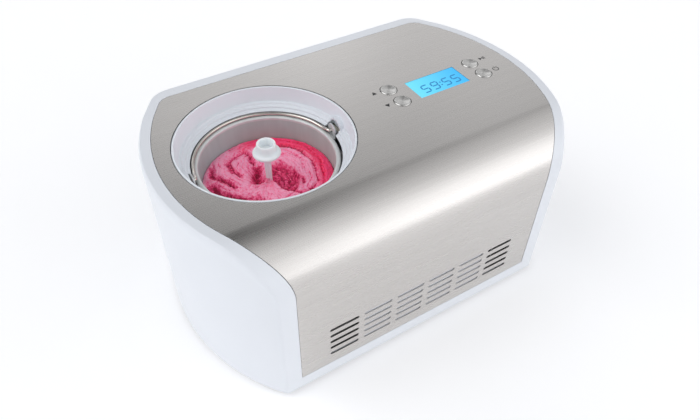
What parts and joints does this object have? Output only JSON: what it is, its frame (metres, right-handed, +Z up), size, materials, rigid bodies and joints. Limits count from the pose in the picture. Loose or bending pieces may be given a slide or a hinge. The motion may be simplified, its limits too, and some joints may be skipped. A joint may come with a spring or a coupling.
{
  "type": "ice cream maker",
  "caption": "Side-by-side compressor ice cream maker with a lift-out bowl, bail handle, stirring paddle, steel wrap panel, buttons and a lit display.",
  "frame": {"origin": "on the standing surface, below the middle of the casing", "axes": "+X along the long side towards the control end, +Y towards the rear wall, +Z up; the vented front faces -Y"},
  "size_m": [0.3994, 0.2594, 0.1888],
  "materials": {
    "casing": "satin cool white moulded plastic",
    "panel": "brushed along the long side, clear satin",
    "base": "fine textured grey",
    "foot": "matt black",
    "screw": "zinc plated",
    "collar": "satin cool white",
    "well": "pressed, satin",
    "foam": "rigid foam",
    "coil": "bare copper tube",
    "bowl": "satin anodised",
    "ear": "satin",
    "wire": "bright wire",
    "paddle": "milky translucent",
    "shaft": "ground",
    "gear": "natural nylon",
    "gearbox": "glass-filled plastic",
    "bush": "sintered bronze",
    "seal": "matt black",
    "motor": "zinc plated",
    "compressor": "black enamel",
    "condenser": "mill finish",
    "fan": "black",
    "button": "spun rings",
    "board": "green laminate",
    "display": "backlit cyan display",
    "electrics": "black",
    "capacitor": "white can"
  },
  "bodies": {
    "housing": {"shell": "casing", "steel_panel": "panel", "base_plate": "base", "bowl_ring": "collar", "cold_well": "well", "foam_jacket": "foam", "evaporator_coil": "coil", "idler_pin": "shaft", "gearbox_case": "gearbox", "gearbox_cover": "gearbox", "shaft_bush_lower": "bush", "shaft_bush_upper": "bush", "shaft_seal": "seal", "stir_motor": "motor", "compressor": "compressor", "condenser_core": "condenser", "fan_frame": "fan", "fan_motor": "motor", "filter_drier": "coil", "discharge_pipe": "coil", "liquid_pipe": "coil", "capillary_tube": "coil", "suction_pipe": "coil", "control_board": "board", "lcd_window": "display", "lcd_module": "electrics", "start_relay": "electrics", "run_capacitor": "capacitor", "power_board": "board", "mains_inlet": "electrics", "foot_front_left": "foot", "foot_screw_front_left": "screw", "foot_front_right": "foot", "foot_screw_front_right": "screw", "foot_rear_left": "foot", "foot_screw_rear_left": "screw", "foot_rear_right": "foot", "foot_screw_rear_right": "screw", "compressor_grommet_1": "foot", "compressor_grommet_2": "foot", "compressor_grommet_3": "foot"},
    "bowl": {"bowl": "bowl", "bowl_ear_left": "ear", "bowl_ear_right": "ear"},
    "handle": {"bowl_handle": "wire"},
    "paddle": {"paddle": "paddle"},
    "drive": {"drive_shaft": "shaft", "output_gear": "gear"},
    "idler": {"idler_gear": "gear"},
    "rotor": {"motor_rotor": "motor", "motor_pinion": "gear"},
    "fan": {"fan_impeller": "fan"},
    "button_up": {"button_up": "button"},
    "button_down": {"button_down": "button"},
    "button_start": {"button_start": "button"},
    "button_power": {"button_power": "button"}
  },
  "joints": [
    {"name": "bowl_lift", "type": "slide", "parent": "housing", "child": "bowl", "axis": [0, 0, 1], "range_m": [0, 0.14]},
    {"name": "handle_swing", "type": "hinge", "parent": "bowl", "child": "handle", "pos_m": [-0.09, 0.0122, 0.167], "axis": [1, 0, 0], "range_deg": [0, 172]},
    {"name": "paddle_spin", "type": "hinge", "parent": "bowl", "child": "paddle", "pos_m": [-0.09, 0.0092, 0.108], "axis": [0, 0, 1], "continuous": true},
    {"name": "drive_spin", "type": "hinge", "parent": "housing", "child": "drive", "pos_m": [-0.09, 0.0092, 0.03], "axis": [0, 0, 1], "continuous": true},
    {"name": "idler_spin", "type": "hinge", "parent": "housing", "child": "idler", "pos_m": [-0.0525, 0.0092, 0.016], "axis": [0, 0, 1], "continuous": true},
    {"name": "rotor_spin", "type": "hinge", "parent": "housing", "child": "rotor", "pos_m": [-0.0225, 0.0092, 0.036], "axis": [0, 0, 1], "continuous": true},
    {"name": "fan_spin", "type": "hinge", "parent": "housing", "child": "fan", "pos_m": [0.048, -0.088, 0.0516], "axis": [0, 1, 0], "continuous": true},
    {"name": "button_up_press", "type": "slide", "parent": "housing", "child": "button_up", "axis": [0, 0, -1], "range_m": [0, 0.001], "stiffness_N_per_m": 600, "springref_m": -0.002},
    {"name": "button_down_press", "type": "slide", "parent": "housing", "child": "button_down", "axis": [0, 0, -1], "range_m": [0, 0.001], "stiffness_N_per_m": 600, "springref_m": -0.002},
    {"name": "button_start_press", "type": "slide", "parent": "housing", "child": "button_start", "axis": [0, 0, -1], "range_m": [0, 0.001], "stiffness_N_per_m": 600, "springref_m": -0.002},
    {"name": "button_power_press", "type": "slide", "parent": "housing", "child": "button_power", "axis": [0, 0, -1], "range_m": [0, 0.001], "stiffness_N_per_m": 600, "springref_m": -0.002}
  ],
  "couplings": [
    {"joint": "paddle_spin", "follows": "drive_spin", "ratio": 1},
    {"joint": "idler_spin", "follows": "drive_spin", "ratio": -4},
    {"joint": "rotor_spin", "follows": "drive_spin", "ratio": 12}
  ]
}
